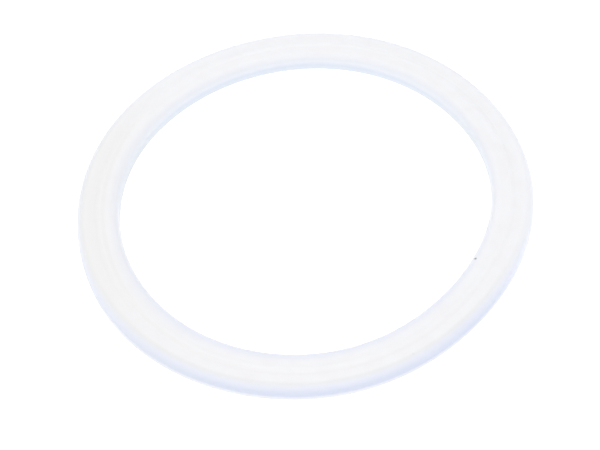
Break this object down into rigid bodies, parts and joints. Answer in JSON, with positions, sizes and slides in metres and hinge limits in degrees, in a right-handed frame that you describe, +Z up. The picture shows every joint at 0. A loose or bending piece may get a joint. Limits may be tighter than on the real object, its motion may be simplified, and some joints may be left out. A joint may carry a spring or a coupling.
{
  "type": "blender gasket",
  "caption": "Translucent moulded silicone ring with a flat seat, a plain bore, rounded corners and a faint step round its face that seals a blender's blade base to its jar.",
  "frame": {"origin": "centre of the ring on the plane that it lies on", "axes": "+Z up along the ring's axis, away from the seat face; X and Y in the ring's plane"},
  "size_m": [0.08, 0.08, 0.0036],
  "materials": {
    "milky_silicone": "satin, translucent milky white silicone"
  },
  "bodies": {
    "root": {"sealing_ring": "milky_silicone"}
  },
  "joints": []
}
